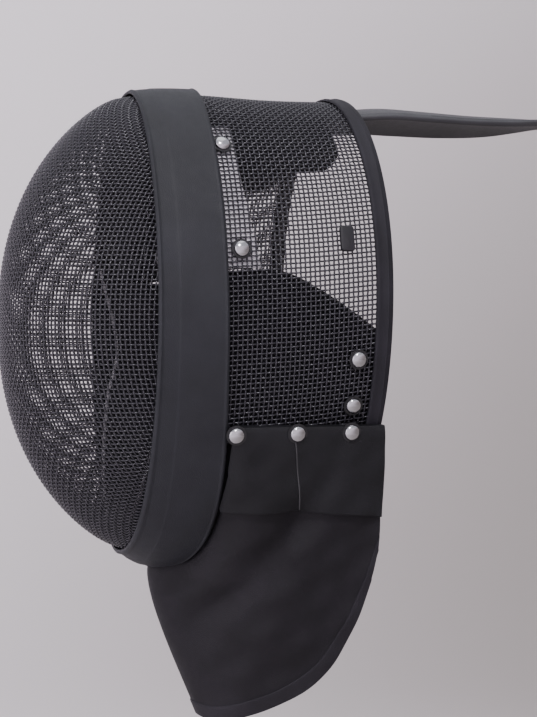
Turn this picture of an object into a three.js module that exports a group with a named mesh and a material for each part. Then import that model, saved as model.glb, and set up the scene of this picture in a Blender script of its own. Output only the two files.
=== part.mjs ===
// A fencing mask: a woven wire face dome and a woven wire side wrap, joined by a wide leather band,
// with a bound rear edge, a hanging bib, a springy tongue behind and pads inside.
//
// Millimetres. +X is the wearer's left, -Y is where the wearer looks, +Z is up. The origin is where the
// head is seated: the underside of the crown pad on the centre plane.
//
// Everything is laid on one form, the wrap: a ring at each depth y, made of a half ellipse above and a
// half ellipse below its widest level. An angle on a ring runs from 0 at the crown, over +90 degrees at
// the wearer's left, to 180 at the chin. "out" is the distance outward from the wire mesh's outer face.
import * as THREE from 'three';
import { mergeVertices } from 'three/addons/utils/BufferGeometryUtils.js';

// Driving dimensions
const gap = 0.3; // least distance between pieces that touch
const ringSides = 40; // flats round a whole ring
const meshThick = 2; // two crossing 1 mm wires
const bandThick = 2.2;
const bindingThick = 1.5;
const bibThick = 2;
const collarThick = 1.8;
const tongueThick = 4.2;
const strapThick = 1.4;
const jawPadThick = 8.5;
const crownPadDepths = { outer: -10.2, inner: -20 };
const crownPadReach = { front: -84, rear: 29, angle: 48, corner: 0.16 };

const rimY = -105; // where the dome leaves the wrap
const domeBulge = 75; // how far the dome stands in front of its rim
const domeRound = { ring: 2.3, bulge: 4 / 3 }; // ring ** 2.3 + bulge ** (4 / 3) = 1 down its profile
const seamY = -78; // under the band: the dome's flange ends and the side mesh starts
const rearY = 44; // rear edge of the side mesh
const sideMeshFloor = -204; // lower edge of the side mesh, behind the bib
const bibTop = -193;
const collarBottom = -245;

const rivet = { radius: 5, skirt: 0.7, height: 2.7, sides: 10, steps: 2 };
const clip = { width: 9, height: 16, depth: 2.6, corner: 1.5, y: 17, level: -79 };

// The wrap, ring by ring: half width, widest level, crown and chin of the wire mesh's outer face
const wrapRings = [
  { y: -105, halfWidth: 89, widest: -129, crown: 16, chin: -273.5 },
  { y: -88, halfWidth: 90.5, widest: -127.5, crown: 19.5, chin: -282.5 },
  { y: -57, halfWidth: 93, widest: -124, crown: 21, chin: -283 },
  { y: -5, halfWidth: 98, widest: -117, crown: 20, chin: -270 },
  { y: 45, halfWidth: 102.5, widest: -110, crown: 21.3, chin: -253 },
];

// The leather band's two edges round the ring
const bandEdges = [
  { angle: 0, front: -98, rear: -54.5 },
  { angle: 40, front: -99.5, rear: -58 },
  { angle: 100, front: -100.5, rear: -57 },
  { angle: 140, front: -102, rear: -55 },
  { angle: 165, front: -103.5, rear: -64 },
  { angle: 180, front: -104.5, rear: -84 },
  { angle: 195, front: -103.5, rear: -64 }, // past the chin, so that both edges cross the centre square
];

// The bib's free edge, from its rear corner round to the middle of the chest
const bibHem = [
  { x: 77, y: 47, z: -273 },
  { x: 70, y: 39, z: -307 },
  { x: 62, y: 29, z: -334 },
  { x: 53, y: 14, z: -358 },
  { x: 42, y: -6, z: -373 },
  { x: 29, y: -27, z: -383 },
  { x: 15, y: -41, z: -387 },
  { x: 0, y: -48, z: -385 },
];

const bibBelly = { side: 2, chin: 8 };

// A shallow fold across the bib, from under the collar to the front of the neck
const bibFold = { depth: 5, spread: 13, from: [-6, -250], over: [-36, -308], to: [-74, -338] };

// The tongue: its middle line's height and its half width
const tongueLine = [
  { y: 8, top: 15.4, halfWidth: 34 },
  { y: 45, top: 16, halfWidth: 36 },
  { y: 75, top: 18.6, halfWidth: 36 },
  { y: 100, top: 18.3, halfWidth: 35.5 },
  { y: 140, top: 17.2, halfWidth: 33 },
  { y: 175, top: 17.2, halfWidth: 28 },
  { y: 196, top: 17, halfWidth: 17 },
  { y: 206, top: 16.3, halfWidth: 3 },
];
const tongueArch = 78; // radius of the tongue's cross section

// The jaw pad, from its upper end beside the temple down to the chin
const jawPadEdges = [
  { share: 0, front: -98, rear: 41 },
  { share: 0.19, front: -84, rear: 41 },
  { share: 0.34, front: -92, rear: 40 },
  { share: 0.6, front: -100, rear: 6 },
  { share: 0.8, front: -103, rear: -48 },
  { share: 1, front: -104, rear: -80 },
];
const jawPadTop = [
  { y: -105, level: -80 },
  { y: -72, level: -98.5 },
  { y: -45, level: -98.5 },
  { y: -20, level: -98 },
  { y: 10, level: -114 },
  { y: 45, level: -139 },
];

// The white strap inside, behind the band
const strapEdges = [
  { level: -6, front: -63, rear: -45 },
  { level: -50, front: -64, rear: -43 },
  { level: -97, front: -64, rear: -36 },
];

// Rivets on one side: depth, level and what each head lies on
const rivets = [
  { name: 'strap_top', y: -53, level: -20, on: 'mesh' },
  { name: 'strap_bottom', y: -48.5, level: -86, on: 'mesh' },
  { name: 'rear_upper', y: 25, level: -152.5, on: 'mesh' },
  { name: 'rear_lower', y: 24.5, level: -181, on: 'mesh' },
  { name: 'bib_front', y: -53.3, level: -197, on: 'collar' },
  { name: 'bib_middle', y: -14, level: -197, on: 'collar' },
  { name: 'bib_rear', y: 22, level: -197, on: 'collar' },
];

const bandIn = 4 * gap;
const bandOut = bandIn + bandThick;
const bibOut = gap + bibThick;
const collarIn = bibOut + 4 * gap;
const collarOut = collarIn + collarThick;

const radians = THREE.MathUtils.degToRad;
const mix = THREE.MathUtils.lerp;

// A smooth curve through one column of a table, read at a value of its key column
function curveOf(rows, key, column) {
  const keys = rows.map((row) => row[key]);
  const values = rows.map((row) => row[column]);
  const last = rows.length - 1;
  const slope = (i) => {
    const before = Math.max(i - 1, 0);
    const after = Math.min(i + 1, last);
    return (values[after] - values[before]) / (keys[after] - keys[before]);
  };
  return (at) => {
    const inside = THREE.MathUtils.clamp(at, keys[0], keys[last]);
    const found = keys.findIndex((key) => key >= inside);
    const i = Math.max(found, 1) - 1;
    const step = keys[i + 1] - keys[i];
    const s = (inside - keys[i]) / step;
    const rise = s * s * (3 - 2 * s);
    const leave = s * (1 - s) * (1 - s) * step * slope(i);
    const arrive = s * s * (s - 1) * step * slope(i + 1);
    return mix(values[i], values[i + 1], rise) + leave + arrive;
  };
}

const wrap = {
  halfWidth: curveOf(wrapRings, 'y', 'halfWidth'),
  widest: curveOf(wrapRings, 'y', 'widest'),
  crown: curveOf(wrapRings, 'y', 'crown'),
  chin: curveOf(wrapRings, 'y', 'chin'),
};

function riseAt(y, angle) {
  const up = Math.cos(angle) > 0;
  return up ? wrap.crown(y) - wrap.widest(y) : wrap.widest(y) - wrap.chin(y);
}

function wrapNormal(y, angle) {
  const x = riseAt(y, angle) * Math.sin(angle);
  const z = wrap.halfWidth(y) * Math.cos(angle);
  return new THREE.Vector3(x, 0, z).normalize();
}

function wrapPoint(y, angle, out) {
  const x = wrap.halfWidth(y) * Math.sin(angle);
  const z = wrap.widest(y) + riseAt(y, angle) * Math.cos(angle);
  return new THREE.Vector3(x, y, z).addScaledVector(wrapNormal(y, angle), out);
}

// The angle at which a ring passes a level, on the wearer's left
function angleAt(y, level) {
  const above = level - wrap.widest(y);
  const rise = above > 0 ? wrap.crown(y) - wrap.widest(y) : wrap.widest(y) - wrap.chin(y);
  return Math.acos(above / rise);
}

// A closed mesh from triangles of points, with its faces turned outward
function closedBody(triangles) {
  const flat = triangles.flatMap((corners) => corners.flatMap((point) => point.toArray()));
  let geometry = new THREE.BufferGeometry();
  geometry.setAttribute('position', new THREE.Float32BufferAttribute(flat, 3));
  geometry = mergeVertices(geometry, 1e-3);
  const places = geometry.getAttribute('position');
  const corner = (i) => new THREE.Vector3().fromBufferAttribute(places, i);
  const index = geometry.getIndex().array;
  const kept = [];
  let volume = 0;
  for (let i = 0; i < index.length; i += 3) {
    const [a, b, c] = index.slice(i, i + 3);
    if (a !== b && b !== c && c !== a) {
      kept.push([a, b, c]);
      volume += corner(a).dot(corner(b).cross(corner(c)));
    }
  }
  const faces = volume > 0 ? kept : kept.map(([a, b, c]) => [a, c, b]);
  geometry.setIndex(faces.flat());
  geometry.computeVertexNormals();
  return geometry;
}

function quad(a, b, c, d) {
  return [[a, b, c], [a, c, d]];
}

// A wall between two faces of the same surface. surface(u, v, out) takes u and v from 0 to 1.
function wall(surface, { across, along, outer, inner, ring = false }) {
  const sheet = (out) => {
    const rows = [];
    for (let j = 0; j <= along; j += 1) {
      const row = [];
      for (let i = 0; i <= across; i += 1) row.push(surface(i / across, j / along, out));
      rows.push(row);
    }
    return rows;
  };
  const outside = sheet(outer);
  const inside = sheet(inner);
  const triangles = [];
  for (let j = 0; j < along; j += 1) {
    for (let i = 0; i < across; i += 1) {
      triangles.push(...quad(outside[j][i], outside[j][i + 1], outside[j + 1][i + 1], outside[j + 1][i]));
      triangles.push(...quad(inside[j][i], inside[j + 1][i], inside[j + 1][i + 1], inside[j][i + 1]));
    }
  }
  for (let i = 0; i < across; i += 1) {
    const end = along;
    triangles.push(...quad(outside[0][i], inside[0][i], inside[0][i + 1], outside[0][i + 1]));
    triangles.push(...quad(outside[end][i], outside[end][i + 1], inside[end][i + 1], inside[end][i]));
  }
  for (let j = 0; j < along && !ring; j += 1) {
    const end = across;
    triangles.push(...quad(outside[j][0], outside[j + 1][0], inside[j + 1][0], inside[j][0]));
    triangles.push(...quad(outside[j][end], inside[j][end], inside[j + 1][end], outside[j + 1][end]));
  }
  return closedBody(triangles);
}

// A flat outline carried along stations; place(corner, share) puts an outline corner in space
function carried(outline, stations, place) {
  const rings = [];
  for (let j = 0; j <= stations; j += 1) rings.push(outline.map((corner) => place(corner, j / stations)));
  const triangles = [];
  for (let j = 0; j < stations; j += 1) {
    for (let i = 0; i < outline.length; i += 1) {
      const next = (i + 1) % outline.length;
      triangles.push(...quad(rings[j][i], rings[j][next], rings[j + 1][next], rings[j + 1][i]));
    }
  }
  for (const [a, b, c] of THREE.ShapeUtils.triangulateShape(outline, [])) {
    triangles.push([rings[0][a], rings[0][c], rings[0][b]]);
    triangles.push([rings[stations][a], rings[stations][b], rings[stations][c]]);
  }
  return closedBody(triangles);
}

// Face dome: a flange on the wrap, then a superellipsoid cap closed at its foremost point
function domePoint(u, v, out) {
  const angle = radians(360 * u);
  const flangeShare = 3 / 13;
  if (v < flangeShare) return wrapPoint(mix(seamY, rimY, v / flangeShare), angle, out);
  const climb = radians(90) * ((v - flangeShare) / (1 - flangeShare));
  const ringShare = v === 1 ? 0 : Math.cos(climb) ** (2 / domeRound.ring);
  const bulgeShare = Math.sin(climb) ** (2 / domeRound.bulge);
  const width = wrap.halfWidth(rimY);
  const rise = riseAt(rimY, angle);
  const x = width * Math.sin(angle) * ringShare;
  const z = rise * Math.cos(angle) * ringShare;
  const y = -domeBulge * bulgeShare;
  const sideways = domeRound.ring * ringShare ** (domeRound.ring - 2);
  const forward = (domeRound.bulge * bulgeShare ** (domeRound.bulge - 1)) / domeBulge;
  const normal = new THREE.Vector3((sideways * x) / width ** 2, -forward, (sideways * z) / rise ** 2);
  const point = new THREE.Vector3(x, rimY + y, wrap.widest(rimY) + z);
  return point.addScaledVector(normal.normalize(), out);
}

function sideMeshPoint(u, v, out) {
  const y = mix(seamY + gap, rearY, v);
  return wrapPoint(y, mix(-1, 1, u) * angleAt(y, sideMeshFloor), out);
}

const band = {
  front: curveOf(bandEdges, 'angle', 'front'),
  rear: curveOf(bandEdges, 'angle', 'rear'),
};

function bandPoint(u, v, out) {
  const turn = mix(-180, 180, u);
  const y = mix(band.front(Math.abs(turn)), band.rear(Math.abs(turn)), v);
  return wrapPoint(y, radians(turn), out);
}

// Rear binding: a tape folded over the side mesh's rear edge
function rearBinding() {
  const face = { front: 35, lining: 37, rear: rearY + gap + bindingThick };
  const outside = gap + bindingThick;
  const inside = -meshThick - gap;
  const section = [
    [face.front, gap], [rearY + gap, gap], [rearY + gap, inside], [face.lining, inside],
    [face.lining, inside - bindingThick], [face.rear - 0.6, inside - bindingThick],
    [face.rear, inside - bindingThick + 0.6], [face.rear, outside - 0.6],
    [face.rear - 0.6, outside], [face.front, outside],
  ].map(([y, out]) => new THREE.Vector2(y, out));
  const bindingFloor = bibTop + gap + 0.3;
  return carried(section, 36, (corner, share) => {
    const reach = angleAt(Math.min(corner.x, rearY), bindingFloor);
    return wrapPoint(corner.x, mix(-1, 1, share) * reach, corner.y);
  });
}

// Bib: ruled from the mask's lower edge to the hem, with one fold on each side
const hemSides = [...bibHem, ...bibHem.slice(0, -1).reverse().map((point) => ({ ...point, x: -point.x }))];
const hem = new THREE.CatmullRomCurve3(
  hemSides.map(({ x, y, z }) => new THREE.Vector3(x, y, z)), false, 'centripetal',
);
const bibToBand = 4; // the bib's front edge stops this far behind the band
const hemLength = 0.42; // share of the bib's upper edge that runs level, before it follows the band

function bibUpperEdge(share) {
  const turnAngle = angleAt(band.rear(110), bibTop);
  const behindBand = (angle) => band.rear(THREE.MathUtils.radToDeg(angle)) + bibToBand;
  const start = behindBand(turnAngle);
  if (share < hemLength) {
    const y = mix(rearY + 1.5, start, share / hemLength);
    return { y, angle: angleAt(y, bibTop) };
  }
  const angle = mix(turnAngle, Math.PI, (share - hemLength) / (1 - hemLength));
  return { y: behindBand(angle), angle };
}

function foldDepth(point) {
  const { depth, spread, from, over, to } = bibFold;
  let nearest = Infinity;
  for (let i = 0; i <= 16; i += 1) {
    const s = i / 16;
    const y = mix(mix(from[0], over[0], s), mix(over[0], to[0], s), s);
    const z = mix(mix(from[1], over[1], s), mix(over[1], to[1], s), s);
    nearest = Math.min(nearest, Math.hypot(point.y - y, point.z - z));
  }
  return depth * Math.exp(-((nearest / spread) ** 2));
}

// share runs from the rear corner (0) to the middle of the chest (1); fall from the upper edge to the hem
function bibPlain(share, fall) {
  const { y, angle } = bibUpperEdge(share);
  return wrapPoint(y, angle, gap).lerp(hem.getPointAt(share / 2), fall);
}

// How far the bib stands out from its ruled form: a belly, fullest at the chin, less the fold
function bibFullness(point, share, fall) {
  const belly = mix(bibBelly.side, bibBelly.chin, share ** 3) * Math.sin(Math.PI * fall ** 0.55);
  const foldShare = Math.sqrt(Math.sin(Math.PI * Math.min(1, fall * 1.6)));
  return belly - foldDepth(point) * foldShare;
}

function bibPoint(u, v, out) {
  const turn = mix(-1, 1, u);
  const share = 1 - Math.abs(turn);
  const step = 1e-3;
  const here = bibPlain(share, v);
  const aside = bibPlain(Math.max(share - step, 0), v).sub(bibPlain(Math.min(share + step, 1), v));
  const down = bibPlain(share, Math.min(v + step, 1)).sub(bibPlain(share, Math.max(v - step, 0)));
  const normal = down.cross(aside).normalize();
  if (share === 1) normal.setX(0).normalize();
  here.addScaledVector(normal, out - gap + bibFullness(here, share, v));
  if (turn < 0) here.x *= -1;
  return here;
}

// Where the bib's surface passes a level, below a place on its upper edge
function fallTo(level, share) {
  const { y, angle } = bibUpperEdge(share);
  const upper = wrapPoint(y, angle, gap).z;
  return (upper - level) / (upper - hem.getPointAt(share / 2).z);
}

function collarPoint(side) {
  const lastShare = 10 / 16; // in front of this the band covers it
  return (u, v, out) => {
    const share = mix(0, lastShare, u);
    const fall = Math.max(fallTo(collarBottom, share), 0.01) * v;
    const turn = side * (1 - share);
    return bibPoint((turn + 1) / 2, fall, out);
  };
}

const tongueCurve = {
  top: curveOf(tongueLine, 'y', 'top'),
  halfWidth: curveOf(tongueLine, 'y', 'halfWidth'),
};

function tonguePoint(u, v, out) {
  const y = mix(tongueLine[0].y, tongueLine.at(-1).y, v);
  const x = mix(-1, 1, u) * tongueCurve.halfWidth(y);
  const lean = Math.asin(x / tongueArch);
  const radius = tongueArch + out;
  const top = tongueCurve.top(y) - tongueArch;
  return new THREE.Vector3(radius * Math.sin(lean), y, top + radius * Math.cos(lean));
}

// Crown pad: rounded corners, drawn in a touch at both ends
function crownPadPoint(u, v, out) {
  const { front, rear, angle, corner } = crownPadReach;
  const end = Math.min(v, 1 - v);
  const round = end < corner ? Math.sqrt(1 - ((corner - end) / corner) ** 2) : 1;
  const reach = angle * mix(0.78, 1, round);
  return wrapPoint(mix(front, rear, v), radians(mix(-reach, reach, u)), out);
}

const jaw = {
  front: curveOf(jawPadEdges, 'share', 'front'),
  rear: curveOf(jawPadEdges, 'share', 'rear'),
  top: curveOf(jawPadTop, 'y', 'level'),
};

function jawPadPoint(u, v, out) {
  const turn = mix(-1, 1, u);
  const share = 1 - Math.abs(turn);
  const y = mix(jaw.front(share), jaw.rear(share), v);
  const angle = mix(angleAt(y, jaw.top(y)), Math.PI, share);
  return wrapPoint(y, turn < 0 ? -angle : angle, out);
}

const strap = {
  front: curveOf([...strapEdges].reverse(), 'level', 'front'),
  rear: curveOf([...strapEdges].reverse(), 'level', 'rear'),
};

function strapPoint(side) {
  return (u, v, out) => {
    const level = mix(strapEdges[0].level, strapEdges.at(-1).level, v);
    const y = mix(strap.front(level), strap.rear(level), u);
    return wrapPoint(y, side * angleAt(y, level), out);
  };
}

// A domed head with a short straight skirt, its flat underside at z = 0
function rivetHead() {
  const { radius, skirt, height, sides, steps } = rivet;
  const profile = [new THREE.Vector2(0, 0), new THREE.Vector2(radius, 0)];
  for (let i = 0; i < steps; i += 1) {
    const climb = (Math.PI / 2) * (i / steps);
    profile.push(new THREE.Vector2(radius * Math.cos(climb), skirt + (height - skirt) * Math.sin(climb)));
  }
  profile.push(new THREE.Vector2(0, height));
  return new THREE.LatheGeometry(profile, sides).rotateX(Math.PI / 2);
}

function clipBlock() {
  const { width, height, depth, corner } = clip;
  const [x, y] = [width / 2 - corner, height / 2 - corner];
  const outline = new THREE.Shape();
  outline.absarc(x, y, corner, 0, Math.PI / 2);
  outline.absarc(-x, y, corner, Math.PI / 2, Math.PI);
  outline.absarc(-x, -y, corner, Math.PI, Math.PI * 1.5);
  outline.absarc(x, -y, corner, Math.PI * 1.5, Math.PI * 2);
  return new THREE.ExtrudeGeometry(outline, { depth, bevelEnabled: false, curveSegments: 3 });
}

const finish = {
  wire: new THREE.MeshStandardMaterial({ color: '#3b3a42', roughness: 0.4, metalness: 0.6 }),
  leather: new THREE.MeshStandardMaterial({ color: '#34333a', roughness: 0.6, metalness: 0 }),
  bibLeather: new THREE.MeshStandardMaterial({ color: '#2b2a2f', roughness: 0.55, metalness: 0 }),
  tape: new THREE.MeshStandardMaterial({ color: '#36343d', roughness: 0.75, metalness: 0 }),
  padding: new THREE.MeshStandardMaterial({ color: '#1f1e22', roughness: 0.9, metalness: 0 }),
  whiteStrap: new THREE.MeshStandardMaterial({ color: '#c9c8cc', roughness: 0.8, metalness: 0 }),
  steel: new THREE.MeshStandardMaterial({ color: '#c8c9cc', roughness: 0.25, metalness: 1 }),
  plastic: new THREE.MeshStandardMaterial({ color: '#232228', roughness: 0.5, metalness: 0 }),
};

const mask = new THREE.Group();

function add(name, geometry, material) {
  const mesh = new THREE.Mesh(geometry, material);
  mesh.name = name;
  mask.add(mesh);
  return mesh;
}

// Seats a small piece with its underside on a face: its +Z along the face's normal, its X to the rear.
// place(out) is the point at a distance outward from the wire mesh.
function seat(mesh, place, out) {
  const outward = place(out + 1).sub(place(out)).normalize();
  const upright = outward.clone().cross(new THREE.Vector3(0, 1, 0)).normalize();
  mesh.quaternion.setFromRotationMatrix(
    new THREE.Matrix4().makeBasis(upright.clone().cross(outward), upright, outward),
  );
  mesh.position.copy(place(out));
}

function placeOnMesh(side, y, level) {
  return (out) => wrapPoint(y, side * angleAt(y, level), out);
}

function placeOnCollar(side, y, level) {
  const rear = bibUpperEdge(0).y;
  const share = (hemLength * (rear - y)) / (rear - bibUpperEdge(hemLength).y);
  return (out) => bibPoint((1 + side * (1 - share)) / 2, fallTo(level, share), out);
}

const meshFaces = { outer: 0, inner: -meshThick };
const padFaces = { outer: -meshThick - 10 * gap, inner: -meshThick - 10 * gap - jawPadThick };
const strapFaces = { outer: -meshThick - gap, inner: -meshThick - gap - strapThick };

add('front_mesh', wall(domePoint, { across: ringSides, along: 13, ring: true, ...meshFaces }), finish.wire);
add('side_mesh', wall(sideMeshPoint, { across: 40, along: 4, ...meshFaces }), finish.wire);
add('seam_band', wall(bandPoint, {
  across: ringSides, along: 4, ring: true, outer: bandOut, inner: bandIn,
}), finish.leather);
add('rear_binding', rearBinding(), finish.tape);
add('bib', wall(bibPoint, { across: 32, along: 11, outer: bibOut, inner: gap }), finish.bibLeather);
add('tongue', wall(tonguePoint, { across: 8, along: 15, outer: 0, inner: -tongueThick }), finish.leather);
add('crown_pad', wall(crownPadPoint, { across: 12, along: 9, ...crownPadDepths }), finish.padding);
add('jaw_pad', wall(jawPadPoint, { across: 32, along: 4, ...padFaces }), finish.padding);

for (const [sideName, side] of [['left', 1], ['right', -1]]) {
  add(`bib_collar_${sideName}`, wall(collarPoint(side), {
    across: 10, along: 3, outer: collarOut, inner: collarIn,
  }), finish.bibLeather);
  add(`inner_strap_${sideName}`, wall(strapPoint(side), {
    across: 2, along: 8, ...strapFaces,
  }), finish.whiteStrap);
  const strapClip = add(`strap_clip_${sideName}`, clipBlock(), finish.plastic);
  seat(strapClip, placeOnMesh(side, clip.y, clip.level), 2 * gap);
  for (const { name, y, level, on } of rivets) {
    const head = add(`rivet_${name}_${sideName}`, rivetHead(), finish.steel);
    if (on === 'mesh') seat(head, placeOnMesh(side, y, level), 2 * gap);
    else seat(head, placeOnCollar(side, y, level), collarOut + 2 * gap);
  }
}

export default mask;
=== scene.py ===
import math

import bpy
import numpy as np
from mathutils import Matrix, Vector


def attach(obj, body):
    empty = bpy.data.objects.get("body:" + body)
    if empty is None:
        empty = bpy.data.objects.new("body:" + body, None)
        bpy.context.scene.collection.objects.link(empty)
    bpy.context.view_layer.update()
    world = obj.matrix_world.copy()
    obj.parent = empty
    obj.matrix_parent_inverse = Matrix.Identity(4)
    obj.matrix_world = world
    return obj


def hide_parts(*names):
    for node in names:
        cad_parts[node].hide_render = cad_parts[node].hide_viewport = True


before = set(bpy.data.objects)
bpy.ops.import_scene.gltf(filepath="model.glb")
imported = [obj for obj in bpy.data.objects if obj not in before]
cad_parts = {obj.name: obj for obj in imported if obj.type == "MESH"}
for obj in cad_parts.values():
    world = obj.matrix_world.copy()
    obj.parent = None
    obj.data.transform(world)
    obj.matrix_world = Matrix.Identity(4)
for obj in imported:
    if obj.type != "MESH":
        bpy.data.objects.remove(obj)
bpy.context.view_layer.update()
print("frame loaded")

millimetre = 0.001

# ---------------------------------------------------------------- the form everything lies on

wrapRings = {
    "y": [-105, -88, -57, -5, 45],
    "halfWidth": [89, 90.5, 93, 98, 102.5],
    "widest": [-129, -127.5, -124, -117, -110],
    "crown": [16, 19.5, 21, 20, 21.3],
    "chin": [-273.5, -282.5, -283, -270, -253],
}
rimY = -105
domeBulge = 75
domeRing = 2.3
domeForward = 4 / 3
rearY = 44
sideMeshFloor = -204
bibTop = -193


# A smooth curve through a table of values, with slopes from the neighbouring entries
def curveOf(keys, values):
    keys = np.array(keys, float)
    values = np.array(values, float)
    last = len(keys) - 1
    before = np.maximum(np.arange(last + 1) - 1, 0)
    after = np.minimum(np.arange(last + 1) + 1, last)
    slopes = (values[after] - values[before]) / (keys[after] - keys[before])

    def read(where):
        inside = np.clip(where, keys[0], keys[-1])
        i = np.maximum(np.searchsorted(keys, inside, side="left"), 1) - 1
        step = keys[i + 1] - keys[i]
        s = (inside - keys[i]) / step
        rise = s * s * (3 - 2 * s)
        leave = s * (1 - s) * (1 - s) * step * slopes[i]
        arrive = s * s * (s - 1) * step * slopes[i + 1]
        return values[i] + (values[i + 1] - values[i]) * rise + leave + arrive

    return read


halfWidthAt = curveOf(wrapRings["y"], wrapRings["halfWidth"])
widestAt = curveOf(wrapRings["y"], wrapRings["widest"])
crownAt = curveOf(wrapRings["y"], wrapRings["crown"])
chinAt = curveOf(wrapRings["y"], wrapRings["chin"])


def mix(a, b, share):
    return a + (b - a) * share


def unit(vectors):
    length = np.linalg.norm(vectors, axis=-1, keepdims=True)
    return vectors / np.maximum(length, 1e-9)


def riseAt(y, angle):
    return np.where(np.cos(angle) > 0, crownAt(y) - widestAt(y), widestAt(y) - chinAt(y))


def wrapNormal(y, angle):
    x = riseAt(y, angle) * np.sin(angle)
    z = halfWidthAt(y) * np.cos(angle)
    return unit(np.stack([x, np.zeros_like(x), z], -1))


def wrapPoint(y, angle, out):
    y, angle, out = np.broadcast_arrays(
        np.asarray(y, float), np.asarray(angle, float), np.asarray(out, float)
    )
    x = halfWidthAt(y) * np.sin(angle)
    z = widestAt(y) + riseAt(y, angle) * np.cos(angle)
    return np.stack([x, y, z], -1) + wrapNormal(y, angle) * out[..., None]


def angleAt(y, level):
    above = level - widestAt(y)
    rise = np.where(above > 0, crownAt(y) - widestAt(y), widestAt(y) - chinAt(y))
    return np.arccos(np.clip(above / rise, -1, 1))


# ---------------------------------------------------------------- making meshes


def makePiece(name, points, faces, material, sharpAngle=42):
    mesh = bpy.data.meshes.new(name)
    mesh.from_pydata((np.asarray(points, float) * millimetre).tolist(), [], faces)
    mesh.polygons.foreach_set("use_smooth", [True] * len(mesh.polygons))
    if sharpAngle:
        mesh.set_sharp_from_angle(angle=math.radians(sharpAngle))
    mesh.materials.append(material)
    piece = bpy.data.objects.new(name, mesh)
    bpy.context.scene.collection.objects.link(piece)
    return piece


def finishPiece(piece, slotName, *nodes):
    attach(piece, "root")
    if nodes:
        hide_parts(*nodes)
    return piece


# Quads between two rows of a grid whose columns run from 0 to count - 1
def gridFaces(rows, columns, wrapRows=False, wrapColumns=False):
    i = np.arange(rows if wrapRows else rows - 1)[:, None]
    j = np.arange(columns if wrapColumns else columns - 1)[None, :]
    nextRow = (i + 1) % rows
    nextColumn = (j + 1) % columns
    quads = np.stack(
        [
            i * columns + j + 0 * nextRow,
            i * columns + nextColumn,
            nextRow * columns + nextColumn,
            nextRow * columns + j,
        ],
        -1,
    )
    return quads.reshape(-1, 4)


# A closed section carried along stations: loops has one row of points per station
def carried(name, loops, material, ring=False, sharpAngle=42):
    stations, corners = loops.shape[:2]
    faces = gridFaces(stations, corners, wrapRows=ring, wrapColumns=True).tolist()
    if not ring:
        half = corners // 2
        for start, flip in ((0, True), ((stations - 1) * corners, False)):
            for k in range(half - 1):
                cap = [start + k, start + k + 1, start + corners - 2 - k, start + corners - 1 - k]
                faces.append(cap[::-1] if flip else cap)
    return makePiece(name, loops.reshape(-1, 3), faces, material, sharpAngle)


# A wall's section as a loop: along the outer face, then back along the inner one. It gives, for each
# corner, the share across the wall and the height; edge rounds both rims.
def wallSection(width, outer, inner, edge, steps=24, relief=None):
    rim = edge * (1 - np.cos(np.linspace(0, np.pi / 2, 5)))
    middle = np.linspace(edge, width - edge, steps)
    if relief is not None:
        middle = np.unique(np.concatenate([middle, relief["at"](width)]))
        middle = middle[(middle > edge) & (middle < width - edge)]
    along = np.concatenate([rim, middle[1:-1], width - rim[::-1]])
    near = np.minimum(along, width - along)
    share = np.sqrt(np.clip(1 - np.clip(1 - near / edge, 0, 1) ** 2, 0, 1))
    centre = (outer + inner) / 2
    half = (outer - inner) / 2 * (0.25 + 0.75 * share)
    top = centre + half
    if relief is not None:
        top = top + relief["height"](along, width) * share
    shares = np.concatenate([along, along[::-1]]) / width
    return shares, np.concatenate([top, (centre - half)[::-1]])


# Tubes along many lines; each line has its points and the surface's normals there
def tubes(name, lines, radius, sides, material):
    points = []
    faces = []
    turn = 2 * np.pi * (np.arange(sides) + 0.5) / sides
    start = 0
    for line, normals in lines:
        along = unit(np.gradient(line, axis=0))
        aside = unit(np.cross(along, normals))
        up = np.cross(aside, along)
        ring = np.cos(turn)[None, :, None] * aside[:, None] + np.sin(turn)[None, :, None] * up[:, None]
        points.append((line[:, None] + radius * ring).reshape(-1, 3))
        faces.extend((gridFaces(len(line), sides, wrapColumns=True) + start).tolist())
        end = start + (len(line) - 1) * sides
        faces.append(list(range(start + sides - 1, start - 1, -1)))
        faces.append(list(range(end, end + sides)))
        start += len(line) * sides
    return makePiece(name, np.concatenate(points), faces, material, sharpAngle=0)


# ---------------------------------------------------------------- shader maths


class Sock:
    def __init__(self, tree, socket):
        self.tree = tree
        self.socket = socket

    def maths(self, operation, *values):
        return addNode(self.tree, "ShaderNodeMath", {"operation": operation}, dict(enumerate(values)))

    def __add__(self, other):
        return self.maths("ADD", self, other)

    def __radd__(self, other):
        return self.maths("ADD", other, self)

    def __sub__(self, other):
        return self.maths("SUBTRACT", self, other)

    def __rsub__(self, other):
        return self.maths("SUBTRACT", other, self)

    def __mul__(self, other):
        return self.maths("MULTIPLY", self, other)

    def __rmul__(self, other):
        return self.maths("MULTIPLY", other, self)

    def __truediv__(self, other):
        return self.maths("DIVIDE", self, other)

    def __rtruediv__(self, other):
        return self.maths("DIVIDE", other, self)

    def __pow__(self, other):
        return self.maths("POWER", self, other)


def addNode(tree, kind, settings=None, inputs=None, output=0):
    node = tree.nodes.new(kind)
    for key, value in (settings or {}).items():
        setattr(node, key, value)
    for key, value in (inputs or {}).items():
        if isinstance(value, Sock):
            tree.links.new(value.socket, node.inputs[key])
        else:
            node.inputs[key].default_value = value
    return Sock(tree, node.outputs[output])


def sine(value):
    return value.maths("SINE", value)


def smoothRange(value, low, high):
    inputs = {"Value": value, "From Min": low, "From Max": high}
    return addNode(value.tree, "ShaderNodeMapRange", {"interpolation_type": "SMOOTHSTEP"}, inputs)


def colourMix(factor, first, second):
    inputs = {0: factor, 6: (*first, 1), 7: (*second, 1)}
    settings = {"data_type": "RGBA"}
    return addNode(factor.tree, "ShaderNodeMix", settings, inputs, output=2)


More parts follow.
